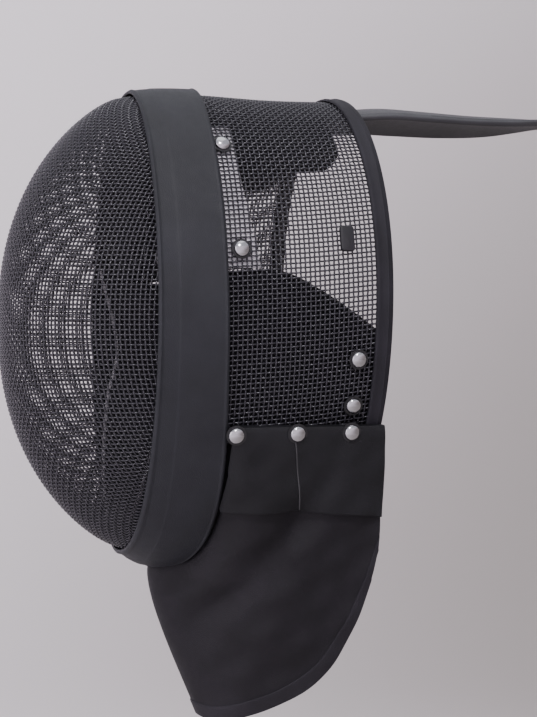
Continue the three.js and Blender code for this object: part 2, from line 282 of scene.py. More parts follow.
def noise(tree, scale, detail=2, roughness=0.5, vector=None):
    inputs = {"Scale": scale, "Detail": detail, "Roughness": roughness}
    inputs["Vector"] = vector or objectPlace(tree)
    return addNode(tree, "ShaderNodeTexNoise", None, inputs)


def cells(tree, scale, feature="F1"):
    inputs = {"Scale": scale, "Vector": objectPlace(tree)}
    return addNode(tree, "ShaderNodeTexVoronoi", {"feature": feature}, inputs)


def objectPlace(tree):
    return addNode(tree, "ShaderNodeTexCoord", output=3)


def axesOf(tree, vector):
    parts = tree.nodes.new("ShaderNodeSeparateXYZ")
    tree.links.new(vector.socket, parts.inputs[0])
    return [Sock(tree, parts.outputs[i]) for i in range(3)]


def bump(height, strength, distance):
    inputs = {"Height": height, "Strength": strength, "Distance": distance}
    return addNode(height.tree, "ShaderNodeBump", None, inputs)


# A Principled material; build(tree) returns the inputs that vary
def makeMaterial(name, looks, build=None):
    material = bpy.data.materials.new(name)
    material.use_nodes = True
    tree = material.node_tree
    shader = tree.nodes["Principled BSDF"]
    shader.inputs["Base Color"].default_value = (*looks["colour"], 1)
    shader.inputs["Roughness"].default_value = looks["roughness"]
    shader.inputs["Metallic"].default_value = looks.get("metallic", 0)
    shader.inputs["Specular IOR Level"].default_value = looks.get("specular", 0.5)
    shader.inputs["Emission Strength"].default_value = looks.get("glow", 0)
    for key, value in (build(tree) if build else {}).items():
        tree.links.new(value.socket, shader.inputs[key])
    return material


# ---------------------------------------------------------------- woven wire

wireMesh = {
    "pitch": 3.0,
    "wireRadius": 0.61,
    "wave": 0.52,  # how far each wire rises and falls as it crosses the others
    "sides": 5,
    "colour": (0.035, 0.034, 0.042),
    "roughness": 0.27,
    "metallic": 0.3,
    "specular": 0.55,
    "frontEnd": -88,  # depth at which the front mesh stops, under the band
    "sideStart": -72,
}


def wireMaterial():
    return makeMaterial("blackWire", wireMesh)


# The dome's form as a number that is 0 on its surface, with its slope
def domeForm(point):
    x, y, z = point
    depth = min(max(y, rimY), -60)
    width = float(halfWidthAt(depth))
    widest = float(widestAt(depth))
    rise = float(riseAt(depth, 0.0 if z > widest else math.pi))
    across = x / width
    upward = (z - widest) / rise
    ring = max(math.hypot(across, upward), 1e-6)
    form = ring**domeRing - 1
    pull = domeRing * ring ** (domeRing - 2)
    slope = [pull * across / width, 0.0, pull * upward / rise]
    if y < rimY:
        forward = (rimY - y) / domeBulge
        form += forward**domeForward
        slope[1] = -domeForward * forward ** (domeForward - 1) / domeBulge
    return form, slope


def settle(guess, conditions):
    point = np.array(guess, float)
    for _ in range(12):
        values, slopes = conditions(point)
        step = np.linalg.lstsq(np.array(slopes), np.array(values), rcond=None)[0]
        length = np.linalg.norm(step)
        if length > 1.5:
            step = step * 1.5 / length
        point = point - step
        if length < 1e-4:
            return point
    return None


def onSurfaceNear(one, other, guess, pitch):
    def conditions(point):
        form, slope = domeForm(point)
        values = [form * 60, point @ point - 2 * point @ one + one @ one - pitch**2]
        slopes = [[s * 60 for s in slope], 2 * (point - one)]
        values.append((point - other) @ (point - other) - pitch**2)
        slopes.append(2 * (point - other))
        return values, slopes

    return settle(guess, conditions)


def alongPlane(last, before, axis, level, pitch):
    def conditions(point):
        form, slope = domeForm(point)
        flat = [0.0, 0.0, 0.0]
        flat[axis] = 1.0
        values = [form * 60, (point - last) @ (point - last) - pitch**2, point[axis] - level]
        return values, [[s * 60 for s in slope], 2 * (point - last), flat]

    return settle(2 * last - before, conditions)


# One quarter of the front mesh's crossings, marched outward from the foremost point
def quarterNet(upward):
    pitch = wireMesh["pitch"]
    widest = float(widestAt(rimY))
    apex = np.array([0, rimY - domeBulge, widest])
    net = {(0, 0): apex}
    for axis, step, key in ((2, (1, 0, 0), 0), (0, (0, 0, upward), 1)):
        before = apex - np.array(step) * pitch
        last = apex
        for k in range(1, 90):
            level = widest if axis == 2 else 0.0
            point = alongPlane(last, before, axis, level, pitch)
            if point is None or last[1] > wireMesh["frontEnd"]:
                break
            net[(k, 0) if key == 0 else (0, k)] = point
            before, last = last, point
    for i in range(1, 90):
        for j in range(1, 90):
            one, other, corner = net.get((i - 1, j)), net.get((i, j - 1)), net.get((i - 1, j - 1))
            if one is None or other is None:
                break
            if max(one[1], other[1]) > wireMesh["frontEnd"]:
                break
            point = onSurfaceNear(one, other, one + other - corner, pitch)
            if point is None or np.linalg.norm(point - corner) < 0.6 * pitch:
                break
            net[(i, j)] = point
    return net


def frontCrossings():
    crossings = {}
    for upward in (1, -1):
        for (i, j), point in quarterNet(upward).items():
            crossings[(i, upward * j)] = point
            crossings[(-i, upward * j)] = point * np.array([-1, 1, 1])
    return crossings


def sideCrossings():
    pitch = wireMesh["pitch"]
    crossings = {}
    depths = np.arange(wireMesh["sideStart"], rearY, pitch)
    for row, y in enumerate(depths):
        angles = np.linspace(0, float(angleAt(y, sideMeshFloor)), 900)
        ring = wrapPoint(y, angles, 0)
        length = np.concatenate([[0], np.cumsum(np.linalg.norm(np.diff(ring, axis=0), axis=1))])
        stops = np.arange(0, length[-1], pitch)
        for k, angle in enumerate(np.interp(stops, length, angles)):
            point = wrapPoint(y, angle, 0)
            crossings[(k, row)] = point
            crossings[(-k, row)] = point * np.array([-1, 1, 1])
    return crossings


def formNormals(points):
    normals = []
    for point in points:
        normals.append(domeForm(point)[1])
    return unit(np.array(normals))


def sideNormals(points):
    widest = widestAt(points[:, 1])
    rise = np.where(points[:, 2] > widest, crownAt(points[:, 1]) - widest, widest - chinAt(points[:, 1]))
    x = points[:, 0] / halfWidthAt(points[:, 1]) ** 2
    z = (points[:, 2] - widest) / rise**2
    return unit(np.stack([x, np.zeros_like(x), z], -1))


# The wires that run one way through the crossings, each rising over one wire and dipping under the next
def wiresThrough(crossings, normalsOf, way):
    lines = []
    keys = list(crossings)
    points = np.array([crossings[key] for key in keys])
    normals = normalsOf(points)
    found = {key: i for i, key in enumerate(keys)}
    for key in keys:
        before = (key[0] - 1, key[1]) if way == 0 else (key[0], key[1] - 1)
        if before in found:
            continue
        run = []
        while key in found:
            run.append((found[key], 1 if (key[0] + key[1] + way) % 2 else -1))
            key = (key[0] + 1, key[1]) if way == 0 else (key[0], key[1] + 1)
        if len(run) < 2:
            continue
        index = [i for i, _ in run]
        sign = np.array([s for _, s in run], float)[:, None]
        middle = -2 * wireMesh["wireRadius"]
        crest = points[index] + normals[index] * (middle + wireMesh["wave"] * sign)
        line = np.empty((2 * len(run) - 1, 3))
        line[0::2] = crest
        line[1::2] = (crest[1:] + crest[:-1]) / 2
        facing = np.empty_like(line)
        facing[0::2] = normals[index]
        facing[1::2] = unit(normals[index][1:] + normals[index][:-1])
        lines.append((line, facing))
    return lines


def buildWireMeshes():
    material = wireMaterial()
    for label, crossings, normalsOf in (
        ("front_mesh", frontCrossings(), formNormals),
        ("side_mesh", sideCrossings(), sideNormals),
    ):
        for way, wayName in ((0, "cross_wires"), (1, "long_wires")):
            lines = wiresThrough(crossings, normalsOf, way)
            name = f"{label}_{wayName}"
            piece = tubes(name, lines, wireMesh["wireRadius"], wireMesh["sides"], material)
            finishPiece(piece, "wire_mesh", label)
            triangles = sum(len(polygon.vertices) - 2 for polygon in piece.data.polygons)
            print(name, len(lines), "wires", triangles, "triangles")


# ---------------------------------------------------------------- leather band

seamBand = {
    "colour": (0.0185, 0.0195, 0.0245),
    "roughness": 0.58,
    "specular": 0.3,
    "grain": 0.25,
    "outer": 3.4,
    "inner": 1.2,
    "ridge": 0.5,  # raised rolled line inside each edge
    "ridgeIn": 1.7,
    "step": 0.3,
}
bandEdges = {
    "angle": [0, 40, 100, 140, 165, 180, 195],
    "front": [-98, -99.5, -100.5, -102, -103.5, -104.5, -103.5],
    "rear": [-54.5, -58, -57, -55, -64, -84, -64],
}
bandFrontAt = curveOf(bandEdges["angle"], bandEdges["front"])
bandRearAt = curveOf(bandEdges["angle"], bandEdges["rear"])


def leatherGrain(looks):
    def build(tree):
        pores = cells(tree, 900, "DISTANCE_TO_EDGE")
        folds = noise(tree, 60, 4, 0.6)
        height = smoothRange(pores, 0.0, 0.25) * 0.6 + folds * 0.8
        tone = noise(tree, 16, 3, 0.6)
        light = [c * 1.22 for c in looks["colour"]]
        dark = [c * 0.82 for c in looks["colour"]]
        return {
            "Base Color": colourMix(smoothRange(tone, 0.3, 0.7), dark, light),
            "Roughness": looks["roughness"] - 0.08 + noise(tree, 220, 2) * 0.16,
            "Normal": bump(height, looks["grain"], 0.0006),
        }

    return build


def bandRelief():
    ridge = seamBand["ridgeIn"]

    def at(width):
        near = np.array([0.7, 1.2, 1.7, 2.2, 2.7, 3.2])
        step = np.array([0.3 * width - 0.4, 0.3 * width, 0.3 * width + 0.4])
        return np.concatenate([near, width - near, step])

    def height(along, width):
        near = np.minimum(along, width - along)
        line = seamBand["ridge"] * np.exp(-(((near - ridge) / 0.75) ** 2))
        drop = seamBand["step"] * (1 - 1 / (1 + np.exp(-(along - 0.3 * width) / 0.25)))
        return line - drop * (near > 3.2)

    return {"at": at, "height": height}


def buildBand():
    material = makeMaterial("bandLeather", seamBand, leatherGrain(seamBand))
    loops = []
    relief = bandRelief()
    count = 240
    shares, outs = wallSection(44, seamBand["outer"], seamBand["inner"], 1.0, 20, relief)
    for turn in np.linspace(-180, 180, count, endpoint=False):
        front, rear = bandFrontAt(abs(turn)), bandRearAt(abs(turn))
        loops.append(wrapPoint(mix(front, rear, shares), math.radians(turn), outs))
    piece = carried("seam_band_leather", np.array(loops), material, ring=True)
    finishPiece(piece, "trim_leather", "seam_band")
    print("seam band built")


# ---------------------------------------------------------------- rear binding

rearBinding = {
    "colour": (0.014, 0.013, 0.018),
    "roughness": 0.7,
    "specular": 0.3,
    "grain": 0.35,
    "front": 35,
    "lining": 37,
    "rear": 45.8,
    "outer": 1.8,
    "inner": -3.8,
    "floor": -192.4,
}


def tapeWeave(looks):
    def build(tree):
        x, y, z = axesOf(tree, objectPlace(tree))
        ribs = sine(z * 5200 + y * 2600) * sine(y * 5200 - z * 2600)
        tone = noise(tree, 30, 3)
        light = [c * 1.25 for c in looks["colour"]]
        dark = [c * 0.8 for c in looks["colour"]]
        return {
            "Base Color": colourMix(smoothRange(tone, 0.3, 0.7), dark, light),
            "Roughness": looks["roughness"] - 0.05 + noise(tree, 300, 2) * 0.1,
            "Normal": bump(ribs * 0.5 + 0.5, looks["grain"], 0.0004),
        }

    return build


def buildBinding():
    looks = rearBinding
    material = makeMaterial("bindingTape", looks, tapeWeave(looks))
    outer, inner = looks["outer"], looks["inner"]
    front, lining, rear = looks["front"], looks["lining"], looks["rear"]
    section = [
        (front, 0.5), (front, outer - 0.5), (front + 0.4, outer), (front + 1.4, outer + 0.25),
        (front + 2.4, outer), (rear - 4.2, outer + 0.1), (rear - 3.4, outer + 0.45), (rear - 2.6, outer + 0.1),
        (rear - 1.2, outer), (rear - 0.35, outer - 0.35), (rear, outer - 1.2), (rear + 0.1, -1),
        (rear, inner + 1.2), (rear - 0.35, inner + 0.35), (rear - 1.2, inner), (lining + 0.5, inner),
        (lining, inner + 0.5), (lining, inner + 1.2), (rear - 2.2, inner + 1.2), (rear - 1.6, -1),
        (rear - 1.6, 0.2), (front + 0.6, 0.3),
    ]
    loops = []
    for share in np.linspace(-1, 1, 161):
        row = []
        for y, out in section:
            reach = float(angleAt(min(y, rearY), looks["floor"]))
            row.append(wrapPoint(y, share * reach, out))
        loops.append(row)
    piece = carried("rear_binding_tape", np.array(loops), material)
    finishPiece(piece, "binding_tape", "rear_binding")
    print("rear binding built")


# ---------------------------------------------------------------- bib

bib = {
    "colour": (0.0105, 0.0095, 0.0125),
    "roughness": 0.62,
    "specular": 0.24,
    "grain": 0.3,
    "thickness": 2.0,
    "gap": 0.3,
    "bellySide": 2,
    "bellyChin": 6,
    "foldDepth": 6,
    "foldSpread": 11,
    "creases": 0.8,
    "hemWidth": 11,
    "hemRaise": 0.7,
    "flat": (0.46, 0.19),
}
bibHem = np.array(
    [
        (77, 47, -273), (70, 39, -307), (62, 29, -334), (53, 14, -358),
        (42, -6, -373), (29, -27, -383), (15, -41, -387), (0, -48, -385),
    ],
    float,
)
foldFrom, foldOver, foldTo = (-6, -250), (-36, -308), (-74, -338)
bibToBand = 4
hemLength = 0.42


# A centripetal curve through the hem's points and their mirror, measured by its length
def hemCurve():
    sides = np.concatenate([bibHem, bibHem[-2::-1] * np.array([-1, 1, 1])])
    ends = [2 * sides[0] - sides[1], *sides, 2 * sides[-1] - sides[-2]]
    points = []
    for a, b, c, d in zip(ends, ends[1:], ends[2:], ends[3:]):
        ab, bc, cd = (math.sqrt(np.linalg.norm(q - p)) for p, q in ((a, b), (b, c), (c, d)))
        leave = ((b - a) / ab - (c - a) / (ab + bc) + (c - b) / bc) * bc
        arrive = ((c - b) / bc - (d - b) / (bc + cd) + (d - c) / cd) * bc
        for s in np.linspace(0, 1, 40, endpoint=False):
            s2, s3 = s * s, s * s * s
            points.append(
                b * (2 * s3 - 3 * s2 + 1) + leave * (s3 - 2 * s2 + s) + c * (3 * s2 - 2 * s3) + arrive * (s3 - s2)
            )
    points.append(sides[-1])
    points = np.array(points)
    length = np.concatenate([[0], np.cumsum(np.linalg.norm(np.diff(points, axis=0), axis=1))])
    length /= length[-1]

    def read(share):
        return np.stack([np.interp(share, length, points[:, axis]) for axis in range(3)], -1)

    return read


hemAt = hemCurve()


def bibUpperEdge(share):
    turnAngle = float(angleAt(bandRearAt(110), bibTop))
    start = float(bandRearAt(math.degrees(turnAngle))) + bibToBand
    level = mix(rearY + 1.5, start, np.minimum(share / hemLength, 1))
    past = np.clip((share - hemLength) / (1 - hemLength), 0, 1)
    turned = mix(turnAngle, math.pi, past)
    y = np.where(share < hemLength, level, bandRearAt(np.degrees(turned)) + bibToBand)
    angle = np.where(share < hemLength, angleAt(level, bibTop), turned)
    return y, angle


def bibPlain(share, fall):
    y, angle = bibUpperEdge(share)
    return mix(wrapPoint(y, angle, bib["gap"]), hemAt(share / 2), fall[..., None])


def foldAt(points):
    nearest = np.full(points.shape[:-1], 1e9)
    for s in np.linspace(0, 1, 33):
        y = mix(mix(foldFrom[0], foldOver[0], s), mix(foldOver[0], foldTo[0], s), s)
        z = mix(mix(foldFrom[1], foldOver[1], s), mix(foldOver[1], foldTo[1], s), s)
        nearest = np.minimum(nearest, np.hypot(points[..., 1] - y, points[..., 2] - z))
    return bib["foldDepth"] * np.exp(-((nearest / bib["foldSpread"]) ** 2))


# Small soft creases, from a few fixed waves
def creases(points):
    y, z = points[..., 1], points[..., 2]
    wave = np.sin(y * 0.11 + z * 0.07 + 1.2) * np.sin(z * 0.13 - y * 0.04)
    wave = wave + 0.6 * np.sin(y * 0.23 - z * 0.19 + 0.4) * np.sin(y * 0.05 + z * 0.09)
    return wave * bib["creases"]


# turn runs from -1 to 1 round the bib, fall from its upper edge to its hem
def bibPoint(turn, fall, out):
    turn, fall, out = np.broadcast_arrays(
        np.asarray(turn, float), np.asarray(fall, float), np.asarray(out, float)
    )
    share = 1 - np.abs(turn)
    step = 1e-3
    wide = 0.03
    here = bibPlain(share, fall)
    aside = bibPlain(np.maximum(share - wide, 0), fall) - bibPlain(np.minimum(share + wide, 1), fall)
    down = bibPlain(share, np.minimum(fall + step, 1)) - bibPlain(share, np.maximum(fall - step, 0))
    normal = np.cross(down, aside)
    normal[..., 0] *= np.clip((1 - share) / wide, 0, 1)
    normal = unit(normal)
    belly = mix(bib["bellySide"], bib["bellyChin"], share**3) * np.sin(np.pi * np.maximum(fall, 0) ** 0.55)
    foldShare = np.sqrt(np.maximum(np.sin(np.pi * np.clip(fall * 1.6, 0, 1)), 0))
    middleFade = np.clip((1 - share) / 0.2, 0, 1)
    middleFade = middleFade * middleFade * (3 - 2 * middleFade)
    soft = np.clip(fall * 6, 0, 1) * creases(here) * middleFade
    fullness = belly - foldAt(here) * foldShare * middleFade + soft
    here = here + normal * (out - bib["gap"] + fullness)[..., None]
    here[..., 0] = np.where(turn < 0, -here[..., 0], here[..., 0])
    return here


def sheetArea(points):
    a = np.cross(points[1:, :-1] - points[:-1, :-1], points[:-1, 1:] - points[:-1, :-1])
    b = np.cross(points[1:, :-1] - points[1:, 1:], points[:-1, 1:] - points[1:, 1:])
    return 0.5e-6 * float(np.linalg.norm(a, axis=-1).sum() + np.linalg.norm(b, axis=-1).sum())


def bibHemStrip(material):
    loops = []
    for turn in np.linspace(-1, 1, 221):
        share = np.array(1 - abs(turn))
        y, angle = bibUpperEdge(share)
        drop = float(np.linalg.norm(hemAt(share / 2) - wrapPoint(y, angle, 0)))
        shares, outs = wallSection(
            bib["hemWidth"], bib["gap"] + bib["thickness"] + bib["hemRaise"], bib["gap"] - 0.1, 0.8, 6
        )
        falls = 1 + (shares * bib["hemWidth"] - bib["hemWidth"] + 0.9) / drop
        loops.append(bibPoint(turn, falls, outs))
    return carried("bib_hem", np.array(loops), material)


def buildBib():
    material = makeMaterial("bibLeather", bib, leatherGrain(bib))
    # The hem strip's leather is the bib's colour made 1.5 times lighter: a painted highlight along the rolled hem.
    hemHighlightLooks = {**bib, "colour": tuple(c * 1.5 for c in bib["colour"])}
    hemHighlightMaterial = makeMaterial("bibHemPaintedHighlightLeather", hemHighlightLooks, leatherGrain(hemHighlightLooks))
    loops = []
    shares, outs = wallSection(160, bib["gap"] + bib["thickness"], bib["gap"], 1.0, 70)
    for turn in np.linspace(-1, 1, 241):
        loops.append(bibPoint(turn, shares, outs))
    piece = carried("bib_cloth", np.array(loops), material)
    finishPiece(piece, "bib_leather", "bib")
    strip = finishPiece(bibHemStrip(hemHighlightMaterial), "bib_leather")
    turns, falls = np.meshgrid(np.linspace(-1, 1, 200), np.linspace(0, 1, 60), indexing="ij")
    area = sheetArea(bibPoint(turns, falls, 1.0))
    print("bib area", round(area, 4))
    print("bib built")


# ---------------------------------------------------------------- bib collar

bibCollar = {
    "outer": 5.3,
    "inner": 3.5,
    "bottom": -245,
    "seamTop": 0.259,  # where the rear part overlaps the front one, as shares of the bib's upper edge
    "seamBottom": 0.329,
    "overlap": 0.02,
    "thread": (0.05, 0.05, 0.055),
    "end": 0.625,  # the band covers the collar from here on
    "colour": (0.0098, 0.0098, 0.0120),
    "roughness": 0.6,
    "specular": 0.24,
    "grain": 0.3,
}


def fallTo(level, share):
    y, angle = bibUpperEdge(share)
    upper = wrapPoint(y, angle, bib["gap"])[..., 2]
    return (upper - level) / (upper - hemAt(share / 2)[..., 2])


def buildCollars():
    looks = bibCollar
    material = makeMaterial("collarLeather", looks, leatherGrain(looks))
    threadLooks = {"colour": looks["thread"], "roughness": 0.7, "grain": 0.3}
    threadMaterial = makeMaterial("collarThread", threadLooks, tapeWeave(threadLooks))
    for sideName, side in (("left", 1), ("right", -1)):
        for part, lift in (("rear", 0.6), ("front", 0.0)):
            loops = []
            for run in np.linspace(0, 1, 70):
                shares, outs = wallSection(52, looks["outer"] + lift, looks["inner"] + 0.35 + lift, 0.8, 18)
                seam = mix(looks["seamTop"], looks["seamBottom"], shares)
                share = mix(0, seam, run) if part == "rear" else mix(seam - looks["overlap"], looks["end"], run)
                longer = 1.03 if part == "front" else mix(1.12, 1.03, run)
                falls = shares * np.maximum(fallTo(looks["bottom"], share), 0.01) * longer - 0.004
                loops.append(bibPoint(side * (1 - share), falls, outs))
            loops = np.array(loops)
            if side < 0:
                loops = loops[::-1]
            piece = carried(f"bib_collar_{part}_{sideName}", loops, material)
            nodes = (f"bib_collar_{sideName}",) if part == "rear" else ()
            finishPiece(piece, "bib_leather", *nodes)
        shares = np.linspace(0.04, 0.97, 60)
        seam = mix(looks["seamTop"], looks["seamBottom"], shares)
        falls = shares * np.maximum(fallTo(looks["bottom"], seam), 0.01) * 1.03
        line = bibPoint(side * (1 - seam), falls, looks["outer"] + 0.5)
        ahead = bibPoint(side * (1 - seam), falls, looks["outer"] + 1.5)
        thread = tubes(f"bib_collar_seam_{sideName}", [(line, unit(ahead - line))], 0.4, 8, threadMaterial)
        finishPiece(thread, "bib_leather")
    print("collars built")


# ---------------------------------------------------------------- tongue

tongue = {
    "colour": (0.042, 0.042, 0.048),
    "roughness": 0.52,
    "specular": 0.4,
    "grain": 0.22,
    "thickness": 4.2,
    "arch": 78,
    "edgeLine": 0.45,
}
tongueLine = {
    "y": [8, 45, 75, 100, 140, 175, 196, 206],
    "top": [15.4, 16, 18.6, 18.3, 17.2, 17.2, 17, 16.3],
    "halfWidth": [34, 36, 36, 35.5, 33, 28, 17, 3],
}
tongueTopAt = curveOf(tongueLine["y"], tongueLine["top"])
tongueHalfAt = curveOf(tongueLine["y"], tongueLine["halfWidth"])


def tonguePlace(x, y, out):
    lean = np.arcsin(np.clip(x / tongue["arch"], -1, 1))
    radius = tongue["arch"] + out
    top = tongueTopAt(y) - tongue["arch"]
    return np.stack([radius * np.sin(lean), y + 0 * radius, top + radius * np.cos(lean)], -1)


def buildTongue():
    material = makeMaterial("tongueLeather", tongue, leatherGrain(tongue))
    loops = []

    def height(along, width):
        near = np.minimum(along, width - along)
        return tongue["edgeLine"] * np.exp(-(((near - 3.2) / 0.8) ** 2)) - 0.35 * (near < 2.2)

    relief = {"at": lambda w: np.array([1.8, 2.6, 3.2, 3.8, 4.6, w - 4.6, w - 3.8, w - 3.2, w - 2.6]), "height": height}
    stations = np.concatenate([np.linspace(8, 188, 90), np.linspace(189, 206, 26)])
    shares, outs = wallSection(72, 0, -tongue["thickness"], 1.6, 26, relief)
    for y in stations:
        half = float(tongueHalfAt(y))
        loops.append(tonguePlace(mix(-half, half, shares), y, outs))
    piece = carried("tongue_cover", np.array(loops), material)
    finishPiece(piece, "tongue_cover", "tongue")
    print("tongue built")


# ---------------------------------------------------------------- pads

padding = {
    "colour": (0.010, 0.0095, 0.0125),
    "roughness": 0.9,
    "specular": 0.25,
    "grain": 0.5,
    "piping": (0.45, 0.43, 0.46),
    "pipingRadius": 1.2,
}
crownPad = {"outer": -10.2, "inner": -20, "front": -84, "rear": 29, "angle": 48, "corner": 0.16}
jawPad = {
    "outer": -5.0,
    "inner": -13.5,
    "share": [0, 0.19, 0.34, 0.6, 0.8, 1],
    "front": [-98, -84, -92, -100, -103, -104],
    "rear": [41, 41, 40, 6, -48, -80],
    "topY": [-105, -72, -45, -20, 10, 45],
    "topLevel": [-80, -98.5, -98.5, -98, -114, -139],
}
jawFrontAt = curveOf(jawPad["share"], jawPad["front"])
jawRearAt = curveOf(jawPad["share"], jawPad["rear"])
jawTopAt = curveOf(jawPad["topY"], jawPad["topLevel"])


def clothWeave(looks):
    def build(tree):
        x, y, z = axesOf(tree, objectPlace(tree))
        threads = sine(y * 6000) * sine(z * 6000)
        puffs = noise(tree, 45, 3)
        tone = noise(tree, 24, 3)
        light = [c * 1.3 for c in looks["colour"]]
        dark = [c * 0.75 for c in looks["colour"]]
        return {
            "Base Color": colourMix(smoothRange(tone, 0.3, 0.7), dark, light),
            "Roughness": looks["roughness"] - 0.05 + noise(tree, 300, 2) * 0.1,
            "Normal": bump(threads * 0.2 + puffs, looks["grain"], 0.0008),
        }

    return build


def puff(u, v, amount):
    return amount * (np.sin(u * 21 + 0.7) * np.sin(v * 9 + 0.3) + 0.5 * np.sin(u * 37 - v * 11))


def buildCrownPad(material):
    looks = crownPad
    loops = []
    width = 160
    shares, outs = wallSection(width, looks["outer"], looks["inner"], 4.5, 40)
    inside = outs < (looks["outer"] + looks["inner"]) / 2
    for v in np.concatenate([np.linspace(0, 0.05, 8), np.linspace(0.06, 0.94, 60), np.linspace(0.95, 1, 8)]):
        end = min(v, 1 - v)
        corner = looks["corner"]
        bend = math.sqrt(max(1 - ((corner - end) / corner) ** 2, 0)) if end < corner else 1
        reach = math.radians(looks["angle"] * mix(0.78, 1, bend))
        rim = min(end / 0.045, 1)
        thin = 0.25 + 0.75 * math.sqrt(max(1 - (1 - rim) ** 2, 0))
        centre = (looks["outer"] + looks["inner"]) / 2
        level = centre + (outs - centre) * thin + np.where(inside, puff(shares, v, 0.35), 0) * thin
        loops.append(wrapPoint(mix(looks["front"], looks["rear"], v), mix(-reach, reach, shares), level))
    piece = carried("crown_pad_foam", np.array(loops), material)
    finishPiece(piece, "padding", "crown_pad")


def jawPadPlace(turn, v, out):
    share = 1 - abs(turn)
    y = mix(jawFrontAt(share), jawRearAt(share), v)
    angle = mix(angleAt(y, jawTopAt(y)), math.pi, share)
    return wrapPoint(y, np.where(turn < 0, -angle, angle), out)


def buildJawPad(material):
    looks = jawPad
    loops = []
    shares, outs = wallSection(110, looks["outer"], looks["inner"], 4, 34)
    centre = (looks["outer"] + looks["inner"]) / 2
    inside = outs < centre
    for turn in np.concatenate([[-1, -0.995, -0.985], np.linspace(-0.97, 0.97, 150), [0.985, 0.995, 1]]):
        rim = min((1 - abs(turn)) / 0.03, 1)
        thin = 0.25 + 0.75 * math.sqrt(max(1 - (1 - rim) ** 2, 0))
        level = centre + (outs - centre) * thin + np.where(inside, puff(shares, turn, 0.35), 0) * thin
        loops.append(jawPadPlace(turn, shares, level))
    piece = carried("jaw_pad_foam", np.array(loops), material)
    finishPiece(piece, "padding", "jaw_pad")
    return centre


def buildPiping(centre):
    pipingLooks = {"colour": padding["piping"], "roughness": 0.8}
    material = makeMaterial("padPiping", pipingLooks, tapeWeave({**pipingLooks, "grain": 0.3}))
    turns = np.linspace(-0.99, 0.99, 260)
    line = np.array([jawPadPlace(turn, 0.0, centre) for turn in turns])
    ahead = np.array([jawPadPlace(turn, 0.0, centre + 1) for turn in turns])
    line = line + np.array([0, -padding["pipingRadius"] * 0.6, 0])
    piece = tubes("jaw_pad_piping", [(line, unit(ahead - line))], padding["pipingRadius"], 10, material)
    finishPiece(piece, "padding")


def buildPads():
    material = makeMaterial("padCloth", padding, clothWeave(padding))
    buildCrownPad(material)
    buildPiping(buildJawPad(material))
    print("pads built")


# ---------------------------------------------------------------- inner straps

innerStrap = {
    "colour": (0.95, 0.93, 0.98),
    "roughness": 0.8,
    "grain": 0.5,
    "level": [-97, -50, -6],
    "front": [-64, -64, -63],
    "rear": [-36, -43, -45],
    "outer": -2.3,
    "inner": -3.7,
}
strapFrontAt = curveOf(innerStrap["level"], innerStrap["front"])
strapRearAt = curveOf(innerStrap["level"], innerStrap["rear"])


def buildStraps():
    looks = innerStrap
    material = makeMaterial("strapWebbing", looks, tapeWeave(looks))
    shadeLiningMaterial = makeMaterial("strapPaintedShadeLining", padding, clothWeave(padding))
    for sideName, side in (("left", 1), ("right", -1)):
        loops = []
        shares, outs = wallSection(36, looks["outer"], looks["inner"], 0.7, 12)
        for level in np.linspace(-6, -97, 70):
            y = mix(strapFrontAt(level), strapRearAt(level), shares)
            loops.append(wrapPoint(y, side * angleAt(y, level), outs))
        loops = np.array(loops)
        if side < 0:
            loops = loops[::-1]
        piece = carried(f"inner_strap_webbing_{sideName}", loops, material)
        finishPiece(piece, "white_strap", f"inner_strap_{sideName}")
        # A dark cloth sheet in the pads' colour over the strap's inner face: painted shade on the face turned away from
        # the light.
        loops = []
        shares, outs = wallSection(36, looks["inner"] - 0.05, looks["inner"] - 0.5, 0.2, 12)
        for level in np.linspace(-6, -97, 70):
            y = mix(strapFrontAt(level), strapRearAt(level), shares)
            loops.append(wrapPoint(y, side * angleAt(y, level), outs))
        loops = np.array(loops)
        if side < 0:
            loops = loops[::-1]
        lining = carried(f"inner_strap_painted_shade_lining_{sideName}", loops, shadeLiningMaterial)
        finishPiece(lining, "padding")
    print("straps built")


# ---------------------------------------------------------------- rivets and clips

rivet = {
    "colour": (0.50, 0.50, 0.52),
    "roughness": 0.2,
    "metallic": 1,
    "radius": 5,
    "skirt": 0.7,
    "height": 3.5,
    "sides": 40,
    "shadowRing": 6.2,
    "shadowRingColour": (0.012, 0.012, 0.014),
}
rivetPlaces = {
    "strap_top": (-53, -20, "mesh"),
    "strap_bottom": (-48.5, -86, "mesh"),
    "rear_upper": (25, -152.5, "mesh"),
    "rear_lower": (24.5, -181, "mesh"),
    "bib_front": (-53.3, -197, "collar"),
    "bib_middle": (-14, -197, "collar"),
    "bib_rear": (22, -197, "collar"),
}
clip = {
    "colour": (0.010, 0.0095, 0.013),
    "roughness": 0.45,
    "width": 9,
    "height": 16,
    "depth": 2.6,
    "corner": 2.0,
    "y": 17,
    "level": -79,
}


# The axes of a small piece seated on a face: to the rear, upward and outward, and its underside's centre
def seatOn(place, out):
    low, high = place(out), place(out + 1)
    outward = unit(high - low)
    upright = unit(np.cross(outward, np.array([0.0, 1.0, 0.0])))
    return np.cross(upright, outward), upright, outward, low


def meshPlace(side, y, level):
    return lambda out: wrapPoint(y, side * float(angleAt(y, level)), out)


def collarPlace(side, y, level):
    rear = float(bibUpperEdge(np.array(0.0))[0])
    front = float(bibUpperEdge(np.array(hemLength))[0])
    share = np.array(hemLength * (rear - y) / (rear - front))
    fall = float(fallTo(level, share))
    return lambda out: bibPoint(side * (1 - float(share)), fall, out)


